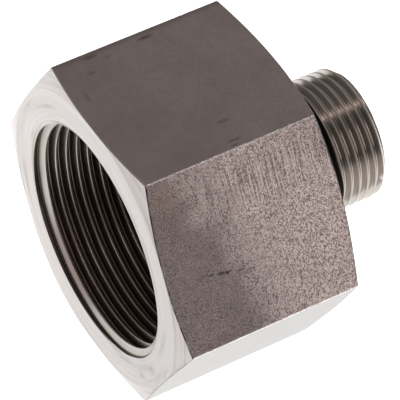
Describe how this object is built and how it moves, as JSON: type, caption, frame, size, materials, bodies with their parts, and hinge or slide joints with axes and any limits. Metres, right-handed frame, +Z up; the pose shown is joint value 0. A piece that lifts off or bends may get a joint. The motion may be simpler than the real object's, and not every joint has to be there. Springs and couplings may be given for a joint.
{
  "type": "hydraulic adapter",
  "caption": "Hexagon reducing adapter of stainless steel with a large threaded socket at one end, a smaller threaded stud at the other and a passage right through.",
  "frame": {"origin": "under the middle of the part, on the surface that its lower flat lies on", "axes": "+X along the turning axis, from the socket's face to the stud's end; +Y across two corners of the hexagon; +Z up, square to the lower flat"},
  "size_m": [0.057, 0.0692, 0.06],
  "materials": {
    "stainless_steel": "drawn hexagon bar with turned ends and cut threads, bare metal"
  },
  "bodies": {
    "root": {"adapter_body": "stainless_steel"}
  },
  "joints": []
}
